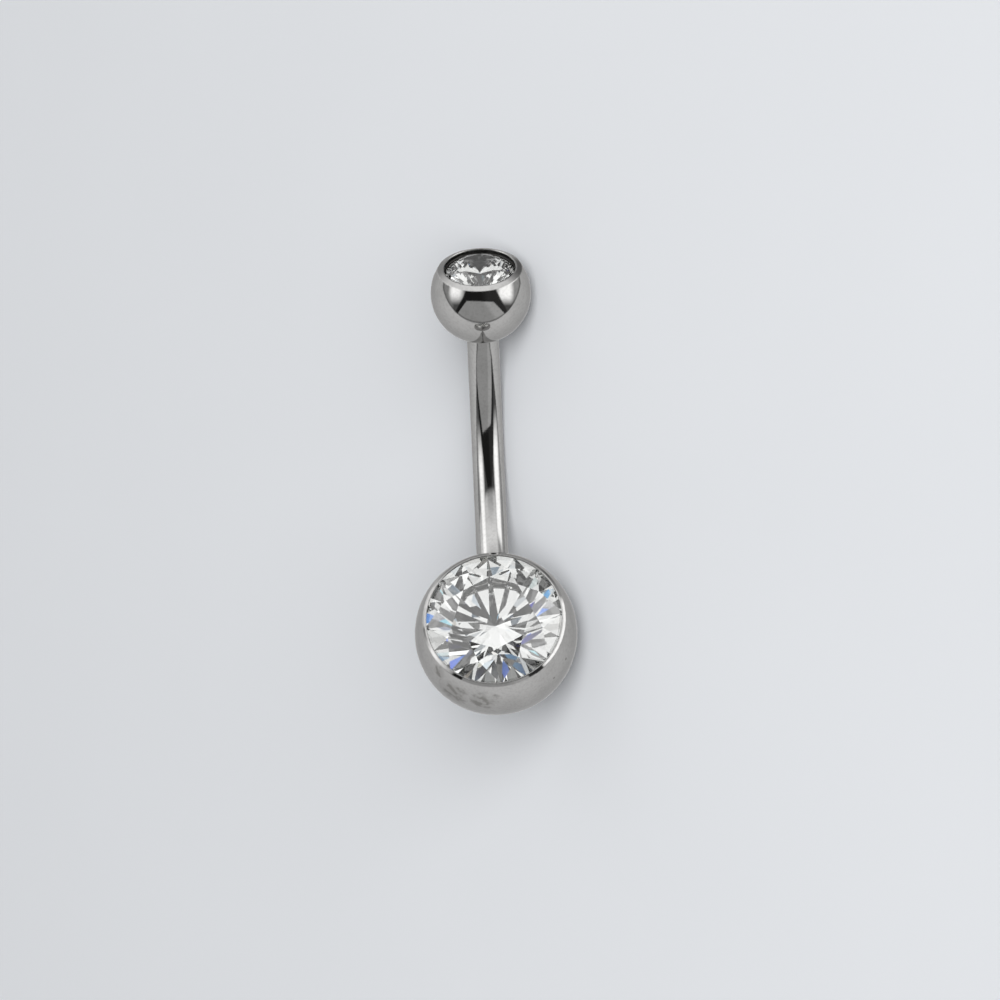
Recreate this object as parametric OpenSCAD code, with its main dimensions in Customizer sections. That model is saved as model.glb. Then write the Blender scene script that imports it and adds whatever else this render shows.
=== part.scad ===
// Navel ring: a curved barbell with a jewelled ball at each end.
// The lower ball is soldered to the bar and the upper ball comes off the bar's post.
// The ring is drawn upright in the plane of its bend, then laid on the floor, z = 0,
// where it lies by itself on its two balls and the outside of the bend.

/* [Bar] */
// Thickness of the bar
bar_d = 1.6; // [1.2:0.1:2]
// Straight distance between the balls, along the chord of the bend
bar_length = 12; // [10:0.5:14]
// Radius of the bend, at the middle of the bar
bend_r = 9.5; // [8.5:0.1:12]

/* [Lower ball] */
// Diameter of the lower ball
lower_ball_d = 8; // [7.5:0.1:9]
// Diameter of the lower stone
lower_stone_d = 6.72; // [6:0.02:6.8]
// How far the rim closes over the edge of the lower stone
lower_rim_cover = 0.05; // [0.02:0.01:0.08]
// Width of the bevel round the rim, square to the ball's axis
lower_bevel_w = 0.2; // [0.16:0.01:0.24]
// Slope of the bevel
lower_bevel_angle = 38; // [34:0.5:42]
// Thickness of the rounded edge on the inside of the bevel
lower_lip_w = 0.1; // [0.06:0.01:0.14]
// Depth of the lower stone's edge below the top of the rim
lower_recess = 0.15; // [0.14:0.01:0.3]
// Lean of the lower stone from square to the chord, towards the upper ball
lower_lean = 17.3; // [10:0.1:25]
// Lean of the lower stone sideways, out of the plane of the bend
lower_sway = 2; // [0:0.1:3]
// Turn of the lower stone's facets in its seat
lower_turn = 3.3; // [0:0.1:45]

/* [Upper ball] */
// Diameter of the upper ball
upper_ball_d = 5; // [4.9:0.1:5.6]
// Diameter of the upper stone
upper_stone_d = 3.4; // [3:0.02:3.44]
// Diameter of the open rim round the upper stone
upper_rim_d = 3.54; // [3.5:0.01:3.6]
// Width of the bevel round the rim, square to the ball's axis
upper_bevel_w = 0.33; // [0.28:0.01:0.36]
// Slope of the bevel
upper_bevel_angle = 29; // [26:0.5:32]
// Thickness of the rounded edge on the inside of the bevel
upper_lip_w = 0.1; // [0.06:0.01:0.14]
// Depth of the upper stone's edge below the top of the rim
upper_recess = 0.3; // [0.27:0.01:0.36]
// Turn of the upper stone's facets in its seat
upper_turn = 0; // [0:1:45]

/* [Post] */
// Diameter of the post that the upper ball screws onto
post_d = 1.2; // [1:0.05:1.2]
// Length of the post
post_length = 1.4; // [1:0.05:1.4]
// Chamfer at the tip of the post
post_chamfer = 0.1; // [0.05:0.01:0.15]
// Depth that the bar's shoulder sinks into the upper ball
socket_depth = 0.25; // [0.2:0.01:0.3]

/* [Cut of the stones] */
// Width of the table, as a share of the stone's diameter
table_share = 0.56; // [0.5:0.01:0.6]
// Angle of the crown's main facets
crown_angle = 33; // [31:0.5:36]
// Reach of the star facets, as a share of the way from the table to the girdle
star_share = 0.48; // [0.4:0.01:0.6]
// Angle of the pavilion's main facets
pavilion_angle = 41.4; // [40:0.1:42]
// Reach of the lower half facets, as a share of the way from the girdle to the culet
half_share = 0.84; // [0.7:0.01:0.86]
// Thickness of the girdle, as a share of the stone's radius
girdle_share = 0.09; // [0.05:0.005:0.1]

/* [Fits] */
// Gap between a stone and its seat
stone_gap = 0.02; // [0.01:0.005:0.03]
// Gap under the pavilion, which the facets bulge into
pavilion_gap = 0.1; // [0.09:0.01:0.12]
// Gap round the post and the bar's shoulder in the upper ball
post_gap = 0.03; // [0.02:0.005:0.05]
// Gap between the tip of the post and the end of its hole
tip_gap = 0.1; // [0.05:0.01:0.15]

/* [Hidden] */
$fn = 96;
bar_r = bar_d / 2;
lower_r = lower_ball_d / 2;
upper_r = upper_ball_d / 2;
post_r = post_d / 2;

// Half of the bar's bend, from its middle to either ball
bend_half = asin(bar_length / 2 / bend_r);
// Ends of the bar's curve and centres of the balls, from the centre of the bend:
// x is square to the chord, to the inside of the bend, and z runs to the upper ball
lower_end = bend_r * [-cos(bend_half), -sin(bend_half)];
upper_end = bend_r * [-cos(bend_half), sin(bend_half)];
lower_centre = lower_end + lower_r * [sin(bend_half), -cos(bend_half)];
upper_centre = upper_end + upper_r * [sin(bend_half), cos(bend_half)];

// Stones: 8 kites round a table, and points round the girdle, a multiple of 16
KITES = 8;
GIRDLE_POINTS = 64;
kite_step = 360 / KITES;
half_step = kite_step / 2;
quarter_step = kite_step / 4;
girdle_step = 360 / GIRDLE_POINTS;
points_per_kite = GIRDLE_POINTS / KITES;
points_per_half = points_per_kite / 2;
crown_slope = tan(crown_angle);
pavilion_slope = tan(pavilion_angle);

// Rim of a ball, in half section: points at a distance from the axis and a height over the
// ball's centre. The ball's own surface ends in a corner, a bevel rises from it, and a rounded
// lip runs from the top of the bevel into the opening.
function rim_corner(ball_r, open_r, bevel_w) =
    [open_r + bevel_w, sqrt(ball_r ^ 2 - (open_r + bevel_w) ^ 2)];
function bevel_top(corner, bevel_w, bevel_angle, lip_w) =
    corner - (bevel_w - lip_w / 2 * (1 + sin(bevel_angle))) * [1, -tan(bevel_angle)];
function lip_centre(top, bevel_angle, lip_w) =
    top - lip_w / 2 * [sin(bevel_angle), cos(bevel_angle)];

// Seats: the lower rim closes over its stone's edge, and the upper rim stands clear of its stone
lower_stone_r = lower_stone_d / 2;
lower_open_r = lower_stone_r - lower_rim_cover;
lower_corner = rim_corner(lower_r, lower_open_r, lower_bevel_w);
lower_top = bevel_top(lower_corner, lower_bevel_w, lower_bevel_angle, lower_lip_w);
lower_lip = lip_centre(lower_top, lower_bevel_angle, lower_lip_w);
lower_girdle_z = lower_lip[1] + lower_lip_w / 2 - lower_recess;
upper_stone_r = upper_stone_d / 2;
upper_open_r = upper_rim_d / 2;
upper_corner = rim_corner(upper_r, upper_open_r, upper_bevel_w);
upper_top = bevel_top(upper_corner, upper_bevel_w, upper_bevel_angle, upper_lip_w);
upper_lip = lip_centre(upper_top, upper_bevel_angle, upper_lip_w);
upper_girdle_z = upper_lip[1] + upper_lip_w / 2 - upper_recess;

// Height of the bar's shoulder, seen from the upper ball's centre along its axis
shoulder_z = socket_depth - upper_r;

// How far the bar's ends run on inside the balls, and the post inside the bar, so that they fuse
weld_depth = 1;
weld_turn = weld_depth / bend_r * 180 / PI;
// Longer than the ring is, for cuts that go right through
far = 2 * (lower_ball_d + upper_ball_d + bar_length);

// Directions that the tables face, seen from the ring. The upper one is in line with the post.
lower_facing = [
    cos(lower_lean) * cos(lower_sway),
    -sin(lower_sway),
    sin(lower_lean) * cos(lower_sway),
];
upper_facing = [sin(bend_half), 0, cos(bend_half)];

// How far a ball reaches from its centre, along an axis that makes a cosine with its facing:
// to its own surface, or to its corner, its lip or its stone's table where it is cut off
function ball_reach(cosine, ball_r, corner, lip, lip_w, stone_r, girdle_z) =
    let (
        axis = [sqrt(1 - cosine ^ 2), cosine],
        table_edge = [stone_r * table_share, girdle_z + stone_r * (1 - table_share) * crown_slope]
    )
    cosine < corner[1] / ball_r
        ? ball_r
        : max(corner * axis, lip * axis + lip_w / 2, table_edge * axis);

// The lay: the direction straight down, seen from the ring. Both balls touch the floor,
// and the outside of the bend touches it too if it reaches so far.
between = upper_centre - lower_centre;
span = norm(between);
along = between / span;
outward = [-along[1], along[0]];
down_along = (lower_r - upper_r) / span;
// Down has a share, down_out, away from the inside of the bend. The floor touches the bend
// where (reach + down_out * lift) ^ 2 = bend_r ^ 2 * (down_along ^ 2 + down_out ^ 2).
reach = down_along * (along * lower_centre) + lower_r - bar_r;
lift = outward * lower_centre;
bend_a = lift ^ 2 - bend_r ^ 2;
bend_b = reach * lift;
bend_c = reach ^ 2 - (bend_r * down_along) ^ 2;
touch_out = (-bend_b - sqrt(bend_b ^ 2 - bend_a * bend_c)) / bend_a;
most_out = sqrt(1 - down_along ^ 2);
down_out = min(touch_out, most_out);
down_in_plane = down_along * along + down_out * outward;
down_side = sqrt(max(0, most_out ^ 2 - down_out ^ 2));
down = [down_in_plane[0], down_side, down_in_plane[1]];

// Axes of the floor, seen from the ring: x runs from ball to ball and z is up
level = [along[0], 0, along[1]] - down * down_along;
floor_z = -down;
floor_x = level / norm(level);
floor_y = cross(floor_z, floor_x);

// How far the ring reaches from the centre of its bend, along an axis
function bend_reach(axis) = bend_r * norm([axis[0], axis[2]]) + bar_r;
function lower_reach(axis) = axis[0] * lower_centre[0] + axis[2] * lower_centre[1]
    + ball_reach(axis * lower_facing, lower_r, lower_corner, lower_lip, lower_lip_w,
        lower_stone_r, lower_girdle_z);
function upper_reach(axis) = axis[0] * upper_centre[0] + axis[2] * upper_centre[1]
    + ball_reach(axis * upper_facing, upper_r, upper_corner, upper_lip, upper_lip_w,
        upper_stone_r, upper_girdle_z);
low_x = -lower_reach(-floor_x);
high_x = upper_reach(floor_x);
low_y = -max(lower_reach(-floor_y), upper_reach(-floor_y));
high_y = max(lower_reach(floor_y), upper_reach(floor_y), bend_reach(floor_y));
middle = [(low_x + high_x) / 2, (low_y + high_y) / 2, -lower_reach(down)];

// Puts the ring on the floor, with the middle of its box over the origin
module laid() {
    translate(-middle)
        multmatrix([
            [floor_x[0], floor_x[1], floor_x[2], 0],
            [floor_y[0], floor_y[1], floor_y[2], 0],
            [floor_z[0], floor_z[1], floor_z[2], 0],
            [0, 0, 0, 1],
        ])
            children();
}

// At the lower ball's centre, with z out of the stone's table
module at_lower_stone() {
    translate([lower_centre[0], 0, lower_centre[1]])
        rotate([0, 90 - lower_lean, 0])
            rotate([lower_sway, 0, 0])
                children();
}

// At the upper ball's centre, with z out of the end of the bar and of the table
module at_upper_ball() {
    translate([upper_centre[0], 0, upper_centre[1]])
        rotate([0, bend_half, 0])
            children();
}

// Half section of a ball that is cut off over its rim
module ball_section(ball_r, top, bevel_angle, lip, lip_w) {
    difference() {
        circle(r = ball_r);
        translate([-far, -far])
            square([far, 2 * far]);
        polygon([
            [-far, lip[1]],
            lip,
            top,
            top + 2 * ball_r * [cos(bevel_angle), -sin(bevel_angle)],
            [far, far],
            [-far, far],
        ]);
    }
    translate(lip)
        circle(d = lip_w);
}

// Half section of the hollow that a stone sits in. The seat follows the pavilion.
module seat_section(stone_r, open_r, girdle_z) {
    seat_r = stone_r + stone_gap;
    seat_top = girdle_z + stone_gap;
    seat_low = girdle_z - girdle_share * stone_r - pavilion_gap;
    polygon([
        [0, far],
        [open_r, far],
        [open_r, seat_top + abs(seat_r - open_r)],
        [seat_r, seat_top],
        [seat_r, seat_low],
        [0, seat_low - seat_r * pavilion_slope],
    ]);
}

// The bar: an arc that runs on into both balls, ends in a flat shoulder at the upper one,
// and carries the plain post that the upper ball screws onto
module bar() {
    difference() {
        rotate([90, 0, 0])
            rotate([0, 0, 180 - bend_half - weld_turn])
                rotate_extrude(angle = 2 * (bend_half + weld_turn))
                    translate([bend_r, 0])
                        circle(r = bar_r);
        at_upper_ball()
            translate([0, 0, shoulder_z])
                cylinder(r = bar_d, h = far);
    }
    at_upper_ball()
        translate([0, 0, shoulder_z])
            rotate_extrude()
                polygon([
                    [0, -weld_depth],
                    [post_r, -weld_depth],
                    [post_r, post_length - post_chamfer],
                    [post_r - post_chamfer, post_length],
                    [0, post_length],
                ]);
}

module bar_and_lower_ball() {
    color([0.74, 0.73, 0.7])
        laid()
            difference() {
                union() {
                    bar();
                    at_lower_stone()
                        rotate_extrude()
                            ball_section(lower_r, lower_top, lower_bevel_angle, lower_lip, lower_lip_w);
                }
                at_lower_stone()
                    rotate_extrude()
                        seat_section(lower_stone_r, lower_open_r, lower_girdle_z);
            }
}

// The upper ball, with a socket for the bar's shoulder and a hole for its post
module upper_ball() {
    color([0.74, 0.73, 0.7])
        laid()
            at_upper_ball()
                difference() {
                    rotate_extrude()
                        ball_section(upper_r, upper_top, upper_bevel_angle, upper_lip, upper_lip_w);
                    rotate_extrude()
                        seat_section(upper_stone_r, upper_open_r, upper_girdle_z);
                    translate([0, 0, shoulder_z + post_gap - far])
                        cylinder(r = bar_r + post_gap, h = far);
                    translate([0, 0, shoulder_z + post_length + tip_gap - far])
                        cylinder(r = post_r + post_gap, h = far);
                }
}

// A point at a distance from the stone's axis, a bearing round it and a height
function round_axis(distance, bearing, z) =
    [distance * cos(bearing), distance * sin(bearing), z];

// How much a half facet dips between its two corners on the girdle, at a bearing round the stone
function girdle_dip(bearing) =
    cos((bearing % half_step) - quarter_step) - cos(quarter_step);

// Round brilliant of radius r, its girdle's upper corners at z = 0 and its table at the top
module brilliant(r) {
    table_r = table_share * r;
    table_z = (r - table_r) * crown_slope;
    table_flat = table_r * cos(half_step);
    star_r = table_flat + star_share * (r - table_flat);
    star_z = (r - star_r * cos(half_step)) * crown_slope;
    upper_steep = star_z / ((r - star_r) * cos(quarter_step));
    girdle_h = girdle_share * r;
    tip_r = (1 - half_share) * r;
    tip_drop = (r - tip_r * cos(half_step)) * pavilion_slope;
    lower_steep = tip_drop / ((r - tip_r) * cos(quarter_step));
    culet_z = -girdle_h - r * pavilion_slope;
    kites = [0 : KITES - 1];
    rim = [0 : GIRDLE_POINTS - 1];

    points = concat(
        [for (i = kites) round_axis(table_r, i * kite_step, table_z)],
        [for (i = kites) round_axis(star_r, i * kite_step + half_step, star_z)],
        [for (j = rim)
            round_axis(r, j * girdle_step, -upper_steep * r * girdle_dip(j * girdle_step))],
        [for (j = rim)
            round_axis(r, j * girdle_step, lower_steep * r * girdle_dip(j * girdle_step) - girdle_h)],
        [for (i = kites) round_axis(tip_r, i * kite_step + half_step, -girdle_h - tip_drop)],
        [[0, 0, culet_z]]
    );
    function table(i) = i % KITES;
    function star(i) = KITES + (i + KITES) % KITES;
    function upper(j) = 2 * KITES + j % GIRDLE_POINTS;
    function lower(j) = 2 * KITES + GIRDLE_POINTS + j % GIRDLE_POINTS;
    function tip(i) = 2 * KITES + 2 * GIRDLE_POINTS + (i + KITES) % KITES;
    culet = 3 * KITES + 2 * GIRDLE_POINTS;
    half_run = [0 : points_per_half];

    faces = concat(
        [[for (i = [KITES - 1 : -1 : 0]) table(i)]],
        [for (i = kites) [table(i + 1), star(i), table(i)]],
        [for (i = kites) [star(i), upper(i * points_per_kite), star(i - 1), table(i)]],
        [for (i = kites, side = [0, 1])
            concat([for (k = half_run)
                upper(i * points_per_kite + (side + 1) * points_per_half - k)], [star(i)])],
        [for (j = rim) [upper(j + 1), lower(j + 1), lower(j), upper(j)]],
        [for (i = kites, side = [0, 1])
            concat([for (k = half_run)
                lower(i * points_per_kite + side * points_per_half + k)], [tip(i)])],
        [for (i = kites) [culet, tip(i - 1), lower(i * points_per_kite), tip(i)]]
    );
    polyhedron(points = points, faces = faces, convexity = 2);
}

module lower_stone() {
    color([0.9, 0.95, 1])
        laid()
            at_lower_stone()
                translate([0, 0, lower_girdle_z])
                    rotate([0, 0, 180 + lower_turn])
                        brilliant(lower_stone_r);
}

module upper_stone() {
    color([0.9, 0.95, 1])
        laid()
            at_upper_ball()
                translate([0, 0, upper_girdle_z])
                    rotate([0, 0, 180 + upper_turn])
                        brilliant(upper_stone_r);
}

bar_and_lower_ball();
lower_stone();
upper_ball();
upper_stone();
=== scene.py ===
from collections import namedtuple

import bpy
from mathutils import Matrix, Vector

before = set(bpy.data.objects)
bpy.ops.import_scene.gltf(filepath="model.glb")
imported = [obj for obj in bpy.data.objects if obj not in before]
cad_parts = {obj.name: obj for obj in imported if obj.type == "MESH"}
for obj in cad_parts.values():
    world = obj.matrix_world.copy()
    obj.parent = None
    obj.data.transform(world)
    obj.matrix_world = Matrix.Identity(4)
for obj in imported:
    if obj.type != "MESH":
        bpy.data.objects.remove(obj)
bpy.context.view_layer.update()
scene = bpy.context.scene
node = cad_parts

# Camera: where it stands and how it is turned, in metres in the row frame.
EYE = Vector((-0.024584, -0.1861095, 0.134714))
RIGHT = Vector((-0.11692, -0.56491, -0.81683)).normalized()
UP = Vector((0.98783, -0.15107, -0.03692))
UP = (UP - UP.dot(RIGHT) * RIGHT).normalized()
TOWARDS = RIGHT.cross(UP)
LENS, SENSOR = 166.9, 36
CLIP_START, CLIP_END = 0.001, 20

# Lamp: its distance, size and power, and how far it stands above the camera's way to the object.
LAMP_AWAY, LAMP_SIZE, LAMP_POWER, LAMP_RISE = 0.8, 0.8, 9.1, 0.12
# Sky, as the floor gets it and as the camera would see it
SKY_ON_FLOOR = (0.18, 0.18, 0.18)
SKY_SEEN = (0.68, 0.70, 0.72)

FLOOR_SIZE = 6
FLOOR_DARK, FLOOR_LIGHT = (0.79, 0.81, 0.84), (0.81, 0.83, 0.86)
FLOOR_GRAIN, FLOOR_ROUGHNESS, FLOOR_GLOSS = 60, 0.8, 0.1

# Studio, as a mirror ball at the object's place shows it to the camera: x is across and y up, in the
# ball's radii. Four numbers are where a light starts, is full, is last full and ends. A side of the hood
# has a share of y, and the sum of that and x where it starts and is full.
Look = namedtuple(
    "Look",
    "stage_middle stage_height left_box left_light right_box right_light "
    "hood_sides hood_top panel_top gap_light",
)
METAL_LOOK = Look(
    stage_middle=0.30,
    stage_height=0.92,
    left_box=((-0.69, -0.55, -0.45, -0.27), (-0.30, 0.03, 0.50, 0.66)),
    left_light=2.05,
    right_box=((0.27, 0.42, 0.56, 0.72), (-0.30, -0.04, 0.40, 0.54)),
    right_light=2.1,
    hood_sides=((0.56, 0.325, 0.295), (0.9, 0.31, 0.28)),
    hood_top=(0.20, 0.17),
    panel_top=-0.188,
    gap_light=0.12,
)
STONE_LOOK = Look(
    stage_middle=0.42,
    stage_height=0.75,
    left_box=((-0.62, -0.58, -0.34, -0.30), (-0.12, -0.06, 0.12, 0.16)),
    left_light=0.95,
    right_box=((0.31, 0.35, 0.64, 0.68), (-0.19, -0.14, 0.12, 0.16)),
    right_light=1.3,
    hood_sides=((0.47, 0.43, 0.41), (1.1, 0.235, 0.21)),
    hood_top=None,
    panel_top=-0.118,
    gap_light=0.04,
)
HOOD_MIDDLE, STAGE_ACROSS, STAGE_WIDTH = 0.015, 0.01, 0.78
# Bright panel under the hood: the lean of its top, and for each slanted side a share of x, a share of y
# and the sum where it ends
PANEL_LEAN = 0.04
PANEL_SIDES = ((-1, 0.77, 0.141), (1, 1, 0.06))
# Dark line round the studio, inside the stage's edge, as shares of the way to that edge
RIM, RIM_STRENGTH, RIM_LIGHT = (0.955, 0.985, 0.990, 1.005), 0.7, 0.08
STAGE_EDGE = (0.99, 1.01)
# Edge of the mirror ball, where what lies behind it runs together
BALL_EDGE, BALL_EDGE_LIGHT = (0.93, 0.985), 0.64
# Fire: a stone bends blue more than red, so red, green and blue see the studio a little differently.
# Each has the studio's width, and where the bright panel starts and is full past its plain edge.
PLAIN_EDGE = (0.005, -0.005)
FIRE = ((0.994, (0.007, -0.008)), (1.0, (0.016, -0.005)), (1.006, (0.021, 0.011)))

MILLIMETRES = (1000, 1000, 1000)
# Balls, in millimetres: the hollow under the stone has a width, and a top and a bottom along the way
# that the stone faces.
Ball = namedtuple("Ball", "centre facing radius hollow_width hollow_top hollow_bottom")
LOWER_BALL = Ball(
    centre=(-7.69214, -0.261369, 4.0),
    facing=(0.293836, -0.776998, 0.556718),
    radius=4.0,
    hollow_width=3.385,
    hollow_top=1.97,
    hollow_bottom=-1.70,
)
UPPER_BALL = Ball(
    centre=(9.30765, -0.261369, 2.5),
    facing=(0.769899, -0.553858, 0.317012),
    radius=2.5,
    hollow_width=1.80,
    hollow_top=1.46,
    hollow_bottom=-0.75,
)

# Metal
METAL_LIGHT, METAL_DARK = (0.485, 0.482, 0.476), (0.405, 0.402, 0.396)
METAL_TINT = (0.75, 0.75, 0.75, 1)
# The upper ball's hollow colour is near black: painted shade in the recess behind its stone.
LOWER_HOLLOW, UPPER_HOLLOW_SHADE = (0.55, 0.55, 0.54), (0.05, 0.049, 0.047)
POLISH, PATCHY, HOLLOW_ROUGHNESS = 0.035, 0.03, 0.45
EDGE_RADIUS, BUMP_HEIGHT = 0.00007, 0.000001
# Smudges on the lower ball, in millimetres: centre and radius.
SMUDGES = (
    ((-10.444, -0.173, 6.902), 1.05),
    ((-11.018, -1.243, 5.993), 0.90),
    ((-9.388, -0.322, 7.622), 0.45),
    ((-9.441, -3.405, 2.251), 0.10),
    ((-10.298, -3.075, 2.864), 0.09),
)
SMUDGE, SMUDGE_STRENGTH = (0.24, 0.235, 0.225), 0.9
# How far the bar's polish leans towards the lower ball, up to near the upper ball and once more in the
# middle of the bar, and where it does, in millimetres along x
LEAN, LEAN_END, LEAN_MIDDLE = 0.065, (7, 5), (-2, 2.5, 4, 7)

# Stones
STONE_LIGHT, STONE_DARK = (0.990, 1.0, 0.985), (0.975, 0.985, 0.970)
STONE_GRAIN, STONE_IOR = 500, 2.165


class Value:
    """A number in a node tree, which the usual signs combine into Math nodes."""

    def __init__(self, tree, socket):
        self.tree, self.socket = tree, socket

    def math(self, operation, *others):
        n = self.tree.nodes.new("ShaderNodeMath")
        n.operation = operation
        for place, v in zip(n.inputs, (self, *others)):
            put(self.tree, v, place)
        return Value(self.tree, n.outputs[0])

    def __add__(self, v):
        return self.math("ADD", v)

    def __sub__(self, v):
        return self.math("SUBTRACT", v)

    def __mul__(self, v):
        return self.math("MULTIPLY", v)

    def __truediv__(self, v):
        return self.math("DIVIDE", v)

    def most(self, v):
        return self.math("MAXIMUM", v)

    def least(self, v):
        return self.math("MINIMUM", v)

    def step(self, start, end):
        """Smoothly from 0 at start to 1 at end, which may be the lower of the two."""
        n = self.tree.nodes.new("ShaderNodeMapRange")
        n.interpolation_type = "SMOOTHSTEP"
        put(self.tree, self, n.inputs["Value"])
        ends = (start, end) if start < end else (end, start)
        n.inputs["From Min"].default_value, n.inputs["From Max"].default_value = ends
        if start > end:
            n.inputs["To Min"].default_value, n.inputs["To Max"].default_value = 1, 0
        return Value(self.tree, n.outputs["Result"])

    def band(self, start, full, last, end):
        """0 up to start, 1 from full to last, 0 again from end."""
        return self.step(start, full) * self.step(end, last)

    def between(self, a, b):
        """a where this is 0 and b where it is 1."""
        n = self.tree.nodes.new("ShaderNodeMix")
        put(self.tree, self, n.inputs[0])
        put(self.tree, a, n.inputs[2])
        put(self.tree, b, n.inputs[3])
        return Value(self.tree, n.outputs[0])


def put(tree, v, place):
    """Link or set a node's input: v is a Value, a socket or plain numbers, and a colour has three."""
    if isinstance(v, Value):
        v = v.socket
    if isinstance(v, bpy.types.NodeSocket):
        tree.links.new(v, place)
    elif place.type == "RGBA" and len(v) == 3:
        place.default_value = (*v, 1)
    else:
        place.default_value = v


def new_tree(material_or_world):
    material_or_world.use_nodes = True
    tree = material_or_world.node_tree
    tree.nodes.clear()
    return tree


def show(tree, surface, output="ShaderNodeOutputMaterial"):
    tree.links.new(surface, tree.nodes.new(output).inputs["Surface"])


def vector_math(tree, operation, a, b=None):
    n = tree.nodes.new("ShaderNodeVectorMath")
    n.operation = operation
    put(tree, a, n.inputs[0])
    if b is not None:
        put(tree, b, n.inputs[1])
    return n.outputs["Value" if operation in ("DOT_PRODUCT", "DISTANCE") else "Vector"]


def dot(tree, a, b):
    return Value(tree, vector_math(tree, "DOT_PRODUCT", a, b))


def noise(tree, point, scale, detail=3.0):
    n = tree.nodes.new("ShaderNodeTexNoise")
    put(tree, point, n.inputs["Vector"])
    n.inputs["Scale"].default_value = scale
    n.inputs["Detail"].default_value = detail
    return Value(tree, n.outputs["Fac"])


def colour(tree, fac, a, b):
    """Colour a where fac is 0 and b where it is 1."""
    n = tree.nodes.new("ShaderNodeMix")
    n.data_type = "RGBA"
    put(tree, fac, n.inputs["Factor"])
    put(tree, a, n.inputs[6])
    put(tree, b, n.inputs[7])
    return n.outputs[2]


def sky(tree, light):
    n = tree.nodes.new("ShaderNodeBackground")
    put(tree, light, n.inputs["Color"])
    return n.outputs[0]


def either(tree, fac, a, b):
    """Shader a where fac is 0 and b where it is 1."""
    n = tree.nodes.new("ShaderNodeMixShader")
    put(tree, fac, n.inputs["Fac"])
    tree.links.new(a, n.inputs[1])
    tree.links.new(b, n.inputs[2])
    return n.outputs[0]


camera = bpy.data.objects.new("camera", bpy.data.cameras.new("camera"))
scene.collection.objects.link(camera)
camera.matrix_world = Matrix.Translation(EYE) @ Matrix((RIGHT, UP, TOWARDS)).transposed().to_4x4()
camera.data.lens = LENS
camera.data.sensor_width = SENSOR
camera.data.clip_start = CLIP_START
camera.data.clip_end = CLIP_END
scene.camera = camera


def metal_lights(x, y, across, from_middle):
    """How bright the stage, walls, light over the hood, hood and panel are, as the metal shows them."""
    stage = from_middle.step(0.62, 1.0).between(0.86, 0.66)
    left_wall = x.step(-0.48, -0.62) * 0.42
    right_wall = x.step(0.60, 0.68) * y.step(-0.35, -0.12) * 0.52
    near_hood = across.step(0.10, 0.24).between(0.68, 1.0)
    over_hood = y.step(0.24, 0.48).between(near_hood, 1.28)
    top_light = y.step(0.16, 0.25) * y.step(0.50, 0.72).between(over_hood, 0.45)
    top_light = top_light * x.step(0.45, 0.28).between(0.4, 1)
    hood = x.step(0.05, 0.15).between(0.02, 0.045)
    panel = (x + y * 0.7).step(-0.12, -0.02).between(0.48, 0.62)
    return stage, left_wall + right_wall, top_light, hood, panel


def stone_lights(x, y, across, from_middle):
    """The same as the stones show them, which stand nearer to the stage."""
    stage = y.step(-0.35, -0.45).between(0.73, 0.53)
    walls = across.step(0.54, 0.60) * 0.5
    left, right = x.step(-0.21, -0.15), x.step(0.17, 0.23)
    over_hood = left.between(1.15, right.between(0.92, 0.80))
    higher = left.between(0.56, right.between(1.02, 0.25))
    top_light = y.step(0.11, 0.15) * y.step(0.50, 0.56).between(over_hood, higher)
    return stage, walls, top_light, 0.05, 0.72


def studio(x, y, look, edge=PLAIN_EDGE):
    """How bright the studio is at x and y in the mirror ball.

    edge: where the bright panel starts and is full, past its plain edge.
    """
    from_middle = (x * x + y * y).math("SQRT")
    across = (x - HOOD_MIDDLE).math("ABSOLUTE")
    lights = stone_lights if look is STONE_LOOK else metal_lights
    stage, walls, top_light, hood_light, panel_light = lights(x, y, across, from_middle)

    inside = walls.most(top_light).most(look.gap_light)
    for (x_band, y_band), light in (
        (look.left_box, look.left_light),
        (look.right_box, look.right_light),
    ):
        inside = inside.most(x.band(*x_band) * y.band(*y_band) * light)

    side, slant = [(across + y * lean).step(start, end) for lean, start, end in look.hood_sides]
    hood = side * slant
    if look.hood_top:
        hood = hood * y.step(*look.hood_top)
    inside = hood.between(inside, hood_light)

    start, full = edge
    panel = (y + x * PANEL_LEAN).step(look.panel_top + start, look.panel_top + full)
    for x_share, y_share, end in PANEL_SIDES:
        panel = panel * (x * x_share + y * y_share).step(end + start, end + full)
    inside = panel.between(inside, panel_light)

    off_x, off_y = (x - STAGE_ACROSS) / STAGE_WIDTH, (y - look.stage_middle) / look.stage_height
    way_out = (off_x * off_x + off_y * off_y).math("SQRT")
    inside = (way_out.band(*RIM) * RIM_STRENGTH).between(inside, RIM_LIGHT)
    around = way_out.step(*STAGE_EDGE).between(inside, stage)
    return from_middle.step(*BALL_EDGE).between(around, BALL_EDGE_LIGHT)


# Studio light, painted on the sky around the object. The floor gets a plain sky instead.
world = bpy.data.worlds.new("studio")
scene.world = world
tree = new_tree(world)
direction = tree.nodes.new("ShaderNodeTexCoord").outputs["Generated"]
half_way = vector_math(tree, "NORMALIZE", vector_math(tree, "ADD", direction, TOWARDS))
x, y = dot(tree, half_way, RIGHT), dot(tree, half_way, UP)
path = tree.nodes.new("ShaderNodeLightPath").outputs
through_stone = tree.nodes.new("ShaderNodeCombineColor")
for place, (width, edge) in zip(through_stone.inputs, FIRE):
    put(tree, studio(x * width, y * width, STONE_LOOK, edge), place)
mirrored = studio(x, y, METAL_LOOK)
painted = colour(tree, path["Is Transmission Ray"], mirrored, through_stone.outputs[0])
lit = either(tree, path["Is Diffuse Ray"], sky(tree, painted), sky(tree, SKY_ON_FLOOR))
show(tree, either(tree, path["Is Camera Ray"], lit, sky(tree, SKY_SEEN)), "ShaderNodeOutputWorld")

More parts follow.
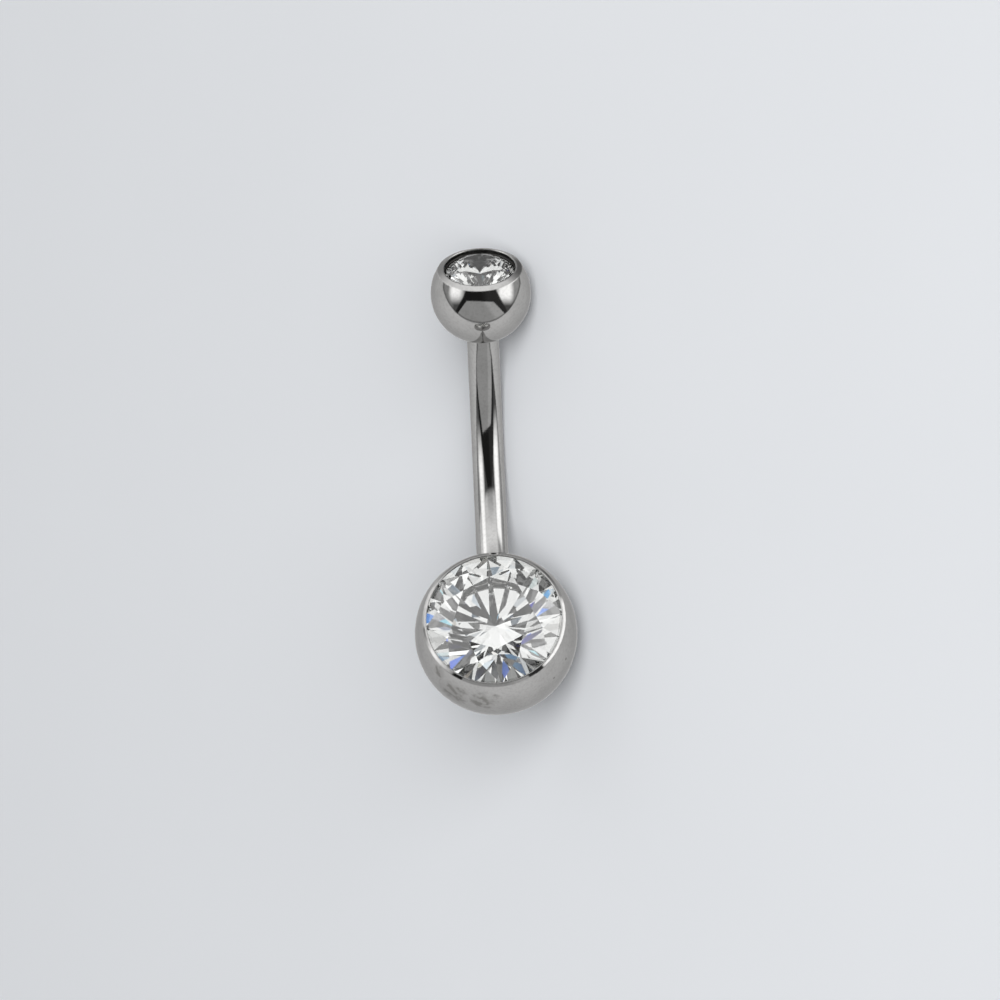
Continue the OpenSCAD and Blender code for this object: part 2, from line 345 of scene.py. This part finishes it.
# Lamp that lights the floor and gives the soft shadow
lamp = bpy.data.objects.new("lamp", bpy.data.lights.new("lamp", "AREA"))
scene.collection.objects.link(lamp)
lamp.data.shape = "DISK"
lamp.data.size = LAMP_SIZE
lamp.data.energy = LAMP_POWER
lamp.visible_glossy = lamp.visible_transmission = False
lamp_way = (TOWARDS + UP * LAMP_RISE).normalized()
lamp_turn = lamp_way.to_track_quat("Z", "Y").to_matrix().to_4x4()
lamp.matrix_world = Matrix.Translation(lamp_way * LAMP_AWAY) @ lamp_turn

# Floor
bpy.ops.mesh.primitive_plane_add(size=FLOOR_SIZE)
floor = bpy.context.object
floor.name = "floor"
floor.visible_glossy = floor.visible_transmission = floor.visible_shadow = False
paper = bpy.data.materials.new("floor_paper")
tree = new_tree(paper)
point = tree.nodes.new("ShaderNodeTexCoord").outputs["Object"]
shader = tree.nodes.new("ShaderNodeBsdfPrincipled")
grain = noise(tree, point, FLOOR_GRAIN, 2)
put(tree, colour(tree, grain, FLOOR_DARK, FLOOR_LIGHT), shader.inputs["Base Color"])
shader.inputs["Roughness"].default_value = FLOOR_ROUGHNESS
shader.inputs["Specular IOR Level"].default_value = FLOOR_GLOSS
show(tree, shader.outputs[0])
floor.data.materials.append(paper)


def hollow(tree, point, ball):
    """1 on the walls of the ball's hollow, which the stone covers, and 0 elsewhere."""
    way = vector_math(tree, "SUBTRACT", point, ball.centre)
    along = dot(tree, way, ball.facing)
    reach = dot(tree, way, way)
    off_axis = (reach - along * along).most(0).math("SQRT")
    bottom, top = ball.hollow_bottom, ball.hollow_top
    return (
        reach.step((ball.radius - 0.05) ** 2, (ball.radius - 0.08) ** 2)
        * off_axis.step(ball.hollow_width + 0.01, ball.hollow_width - 0.01)
        * along.band(bottom - 0.05, bottom + 0.05, top - 0.03, top + 0.01)
    )


def outside(tree, point, ball):
    """1 where the point is clear of the ball, 0 on it."""
    way = vector_math(tree, "SUBTRACT", point, ball.centre)
    return dot(tree, way, way).step((ball.radius + 0.02) ** 2, (ball.radius + 0.03) ** 2)


def smudges(tree, point):
    """How strong the smudges are, each with a ragged edge and spots in it."""
    ragged = noise(tree, point, 1.8, 4) - 0.5
    smudged = None
    for centre, radius in SMUDGES:
        away = Value(tree, vector_math(tree, "DISTANCE", point, centre))
        near = (away + ragged * (radius * 1.6)).step(radius, radius * 0.3)
        smudged = near if smudged is None else smudged.most(near)
    spots = noise(tree, point, 3.2, 4).step(0.43, 0.60).between(0.30, 1.0)
    return (smudged * spots).least(SMUDGE_STRENGTH)


def leaning(tree, point, normal):
    """The normal, on the bar a little towards the lower ball, which sets the bar's reflections."""
    on_bar = outside(tree, point, LOWER_BALL) * outside(tree, point, UPPER_BALL)
    along = dot(tree, point, (1, 0, 0))
    lean = on_bar * (along.band(*LEAN_MIDDLE) * LEAN + along.step(*LEAN_END) * LEAN)
    shares = tree.nodes.new("ShaderNodeCombineXYZ")
    for place in shares.inputs:
        put(tree, lean, place)
    added = tree.nodes.new("ShaderNodeVectorMath")
    added.operation = "MULTIPLY_ADD"
    for v, place in zip((-UP, shares.outputs[0], normal), added.inputs):
        put(tree, v, place)
    return vector_math(tree, "NORMALIZE", added.outputs[0])


# Metal: cloudy patches and a fine mottle in its colour and polish, smudges, painted shade in the upper
# ball's hollow, and softened edges
metal = bpy.data.materials.new("polished_metal")
tree = new_tree(metal)
point = tree.nodes.new("ShaderNodeTexCoord").outputs["Object"]
point = vector_math(tree, "MULTIPLY", point, MILLIMETRES)
in_lower, in_upper_shaded = hollow(tree, point, LOWER_BALL), hollow(tree, point, UPPER_BALL)
patches = noise(tree, point, 0.9, 4).step(0.35, 0.70)
mottle = noise(tree, point, 7, 3).step(0.40, 0.75)
shader = tree.nodes.new("ShaderNodeBsdfPrincipled")
base = colour(tree, patches * 0.5 + mottle * 0.5, METAL_LIGHT, METAL_DARK)
base = colour(tree, smudges(tree, point), base, SMUDGE)
base = colour(tree, in_lower, base, LOWER_HOLLOW)
# Painted shade: the walls of the upper ball's hollow, behind the stone, are darkened to near black.
base = colour(tree, in_upper_shaded, base, UPPER_HOLLOW_SHADE)
put(tree, base, shader.inputs["Base Color"])
shader.inputs["Metallic"].default_value = 1
shader.inputs["Specular Tint"].default_value = METAL_TINT
polish = patches * PATCHY + mottle * PATCHY + POLISH
put(tree, in_lower.most(in_upper_shaded).between(polish, HOLLOW_ROUGHNESS), shader.inputs["Roughness"])
edges = tree.nodes.new("ShaderNodeBevel")
edges.samples = 4
edges.inputs["Radius"].default_value = EDGE_RADIUS
bump = tree.nodes.new("ShaderNodeBump")
bump.inputs["Distance"].default_value = BUMP_HEIGHT
put(tree, noise(tree, point, 3, 3), bump.inputs["Height"])
put(tree, edges.outputs[0], bump.inputs["Normal"])
put(tree, leaning(tree, point, bump.outputs[0]), shader.inputs["Normal"])
show(tree, shader.outputs[0])

# Stone
stone = bpy.data.materials.new("clear_stone")
tree = new_tree(stone)
point = tree.nodes.new("ShaderNodeTexCoord").outputs["Object"]
shader = tree.nodes.new("ShaderNodeBsdfPrincipled")
tint = colour(tree, noise(tree, point, STONE_GRAIN), STONE_DARK, STONE_LIGHT)
put(tree, tint, shader.inputs["Base Color"])
shader.inputs["Transmission Weight"].default_value = 1
shader.inputs["Roughness"].default_value = 0
shader.inputs["IOR"].default_value = STONE_IOR
show(tree, shader.outputs[0])

for material, names in (
    (metal, ("bar_and_lower_ball", "upper_ball")),
    (stone, ("lower_stone", "upper_stone")),
):
    for name in names:
        node[name].data.materials.clear()
        node[name].data.materials.append(material)

scene.view_settings.view_transform = "Standard"
scene.cycles.max_bounces = 32
scene.cycles.glossy_bounces = 24
scene.cycles.transmission_bounces = 16
scene.cycles.caustics_reflective = False
scene.cycles.caustics_refractive = False
